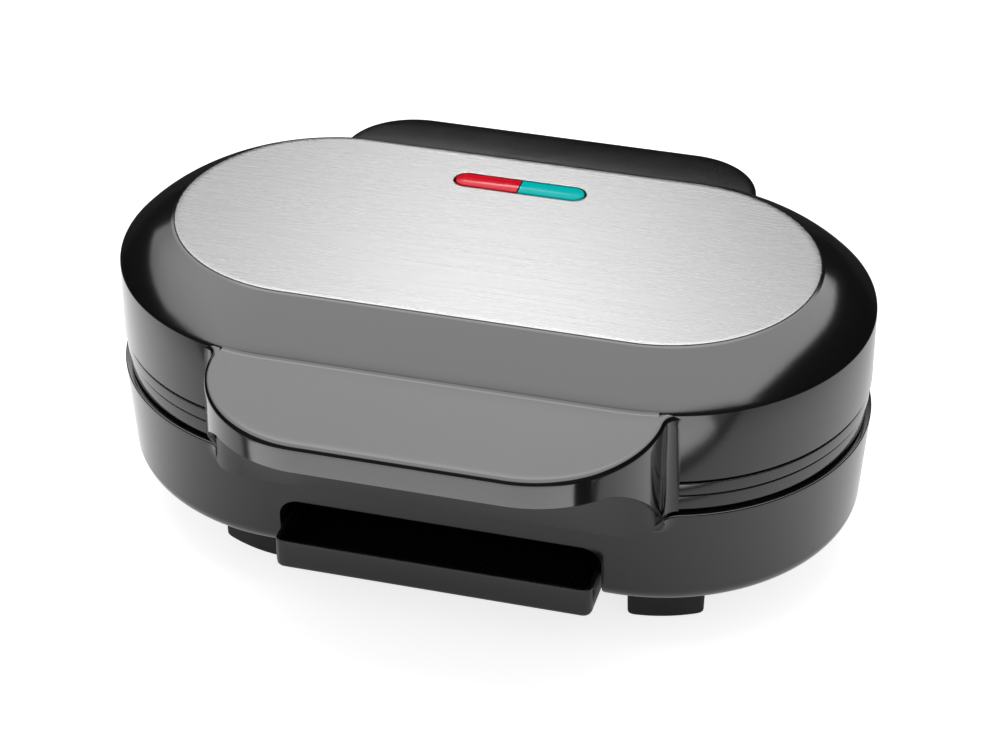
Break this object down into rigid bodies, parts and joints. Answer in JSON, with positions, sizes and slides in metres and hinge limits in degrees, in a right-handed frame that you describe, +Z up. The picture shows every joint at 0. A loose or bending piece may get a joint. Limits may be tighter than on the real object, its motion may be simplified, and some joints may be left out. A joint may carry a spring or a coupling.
{
  "type": "two-patty hamburger grill",
  "caption": "Countertop hamburger grill: stadium-shaped body, hinged lid with handle and brushed steel top plate, round patty wells, red and green lamps, slide-out drip tray.",
  "frame": {"origin": "on the table under the middle of the object's outline, with the feet standing on z = 0", "axes": "+X along the body to the user's right, +Y away from the handle towards the hinge, +Z up"},
  "size_m": [0.3012, 0.244, 0.1282],
  "materials": {
    "gloss_black": "high gloss black",
    "matt_black": "fine matt black",
    "black_rubber": "matt",
    "top_steel": "fine grain along the length",
    "plated_steel": "zinc plated",
    "coated_plate": "satin non-stick coating on cast aluminium",
    "sheet_metal": "rolled sheet",
    "heater_sheath": "dull grey oxide",
    "ceramic": "unglazed",
    "red_lens": "clear red, polished",
    "green_lens": "clear blue-green, polished",
    "lamp_glass": "clear",
    "lamp_white": "matt white",
    "lead_sleeve": "woven glass-fibre sleeve"
  },
  "bodies": {
    "base": {"base_shell": "gloss_black", "bottom_cover": "matt_black", "tray_housing": "matt_black", "lower_cooking_plate": "coated_plate", "lower_heating_element": "heater_sheath", "lower_reflector": "sheet_metal", "thermostat": "plated_steel", "thermal_fuse": "plated_steel", "terminal_block": "ceramic", "cord_bush": "black_rubber", "mains_lead_live": "lead_sleeve", "mains_lead_earth": "lead_sleeve", "mains_lead_neutral": "lead_sleeve", "element_lead_left": "lead_sleeve", "element_lead_right": "lead_sleeve", "foot_front_left": "black_rubber", "foot_front_right": "black_rubber", "foot_rear_left": "black_rubber", "foot_rear_right": "black_rubber", "foot_screw_front_left": "plated_steel", "foot_screw_front_right": "plated_steel", "foot_screw_rear_left": "plated_steel", "foot_screw_rear_right": "plated_steel", "lower_plate_screw_front_left": "plated_steel", "lower_plate_screw_front_right": "plated_steel", "lower_plate_screw_rear_left": "plated_steel", "lower_plate_screw_rear_right": "plated_steel", "hinge_pin_left": "plated_steel", "hinge_pin_right": "plated_steel"},
    "lid": {"lid_shell": "gloss_black", "handle_underside": "matt_black", "handle_screw_left": "plated_steel", "handle_screw_right": "plated_steel", "top_plate": "top_steel", "lens_red": "red_lens", "lens_green": "green_lens", "lamp_housing": "lamp_white", "lamp_red": "lamp_glass", "lamp_green": "lamp_glass", "lamp_lead_red": "lead_sleeve", "lamp_lead_green": "lead_sleeve", "upper_cooking_plate": "coated_plate", "upper_heating_element": "heater_sheath", "upper_reflector": "sheet_metal", "upper_plate_screw_front_left": "plated_steel", "upper_plate_screw_front_right": "plated_steel", "upper_plate_screw_rear_left": "plated_steel", "upper_plate_screw_rear_right": "plated_steel"},
    "tray": {"drip_tray": "matt_black"}
  },
  "joints": [
    {"name": "lid_hinge", "type": "hinge", "parent": "base", "child": "lid", "pos_m": [0, 0.1052, 0.0677], "axis": [-1, 0, 0], "range_deg": [0, 100]},
    {"name": "tray_slide", "type": "slide", "parent": "base", "child": "tray", "axis": [0, -1, 0], "range_m": [0, 0.08]}
  ]
}
